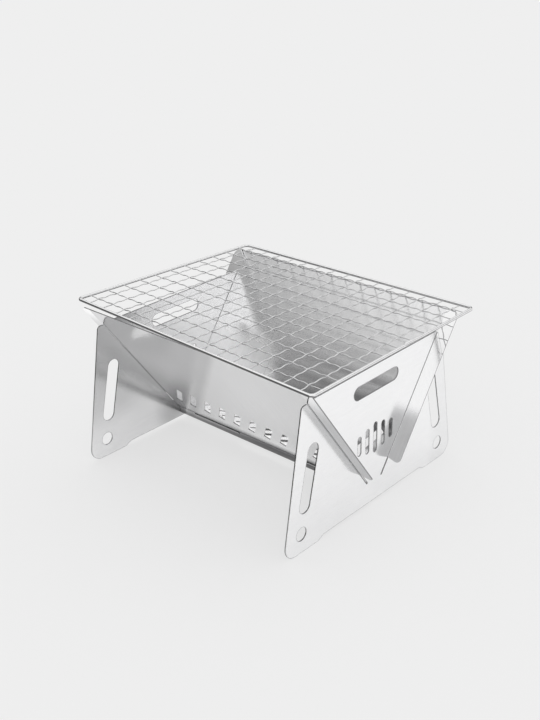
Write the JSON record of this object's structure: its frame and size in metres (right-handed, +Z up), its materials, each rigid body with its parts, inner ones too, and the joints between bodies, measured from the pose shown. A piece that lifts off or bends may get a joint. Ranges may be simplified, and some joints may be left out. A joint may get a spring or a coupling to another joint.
{
  "type": "charcoal grill",
  "caption": "Portable plug-together charcoal grill: a V trough of two vented steel walls held by two slotted end plates that are its legs, with a loose woven wire net on top.",
  "frame": {"origin": "centre of the whole grill's box, on the floor that the feet stand on", "axes": "+X along the trough towards the right end plate, +Y towards the back wall, +Z up"},
  "size_m": [0.3046, 0.2562, 0.1791],
  "materials": {
    "sheet_steel": "polished stainless sheet",
    "rim_steel": "polished round bar",
    "wire_steel": "bright drawn wire"
  },
  "bodies": {
    "trough": {"front_wall": "sheet_steel", "back_wall": "sheet_steel"},
    "left_end": {"left_end_plate": "sheet_steel"},
    "right_end": {"right_end_plate": "sheet_steel"},
    "net": {"net_rim": "rim_steel", "net_cross_wire_01": "wire_steel", "net_cross_wire_02": "wire_steel", "net_cross_wire_03": "wire_steel", "net_cross_wire_04": "wire_steel", "net_cross_wire_05": "wire_steel", "net_cross_wire_06": "wire_steel", "net_cross_wire_07": "wire_steel", "net_cross_wire_08": "wire_steel", "net_cross_wire_09": "wire_steel", "net_cross_wire_10": "wire_steel", "net_cross_wire_11": "wire_steel", "net_cross_wire_12": "wire_steel", "net_cross_wire_13": "wire_steel", "net_cross_wire_14": "wire_steel", "net_cross_wire_15": "wire_steel", "net_long_wire_01": "wire_steel", "net_long_wire_02": "wire_steel", "net_long_wire_03": "wire_steel", "net_long_wire_04": "wire_steel", "net_long_wire_05": "wire_steel", "net_long_wire_06": "wire_steel", "net_long_wire_07": "wire_steel", "net_long_wire_08": "wire_steel", "net_long_wire_09": "wire_steel", "net_long_wire_10": "wire_steel", "net_long_wire_11": "wire_steel"}
  },
  "joints": [
    {"name": "net_lift", "type": "slide", "parent": "trough", "child": "net", "axis": [0, 0, 1], "range_m": [0, 0.06]},
    {"name": "left_end_slide", "type": "slide", "parent": "trough", "child": "left_end", "axis": [-1, 0, 0], "range_m": [0, 0.035]},
    {"name": "right_end_slide", "type": "slide", "parent": "trough", "child": "right_end", "axis": [1, 0, 0], "range_m": [0, 0.035]}
  ]
}
